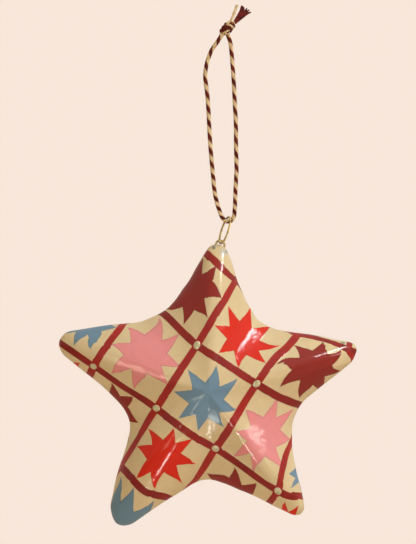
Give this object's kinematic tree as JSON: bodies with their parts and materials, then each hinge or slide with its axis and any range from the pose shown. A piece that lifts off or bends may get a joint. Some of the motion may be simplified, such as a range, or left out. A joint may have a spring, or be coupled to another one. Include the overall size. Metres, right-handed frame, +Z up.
{
  "type": "hanging star ornament",
  "caption": "Hollow puffy star ornament with a painted quilt pattern, hung by a wire eye, an oval wire ring and a knotted loop of twisted cord.",
  "frame": {"origin": "the point of the cord loop, under the knot, that a hook or twig carries", "axes": "+Z up along the hanging cord, +X to the right of the star's face, +Y from the face to the back through the star's thickness"},
  "size_m": [0.101, 0.0308, 0.1777],
  "materials": {
    "painted_paper": "glossy lacquer over hand-painted gesso",
    "bare_paper": "raw paper pulp",
    "filler": "paper pulp set in glue",
    "brass_wire": "drawn wire, lightly tarnished",
    "two_ply_cord": "twisted cotton, one cream ply and one maroon ply",
    "cream_ply": "cotton yarn",
    "maroon_ply": "frayed cotton yarn"
  },
  "bodies": {
    "cord": {"cord_loop": "two_ply_cord", "cord_knot": "two_ply_cord", "cord_tail_cream": "cream_ply", "cord_tail_maroon": "maroon_ply"},
    "ring": {"hanger_ring": "brass_wire"},
    "star": {"front_shell": "painted_paper", "rear_shell": "painted_paper", "seam_strip": "bare_paper", "tip_plug": "filler", "hanger_eye": "brass_wire"}
  },
  "joints": [
    {"name": "ring_sway", "type": "hinge", "parent": "cord", "child": "ring", "pos_m": [0.00116, 0, -0.06076], "axis": [0, 1, 0], "range_deg": [-40, 40]},
    {"name": "star_swing", "type": "hinge", "parent": "ring", "child": "star", "pos_m": [-0.00104, 0, -0.06945], "axis": [1, 0, 0], "range_deg": [-45, 45]}
  ]
}
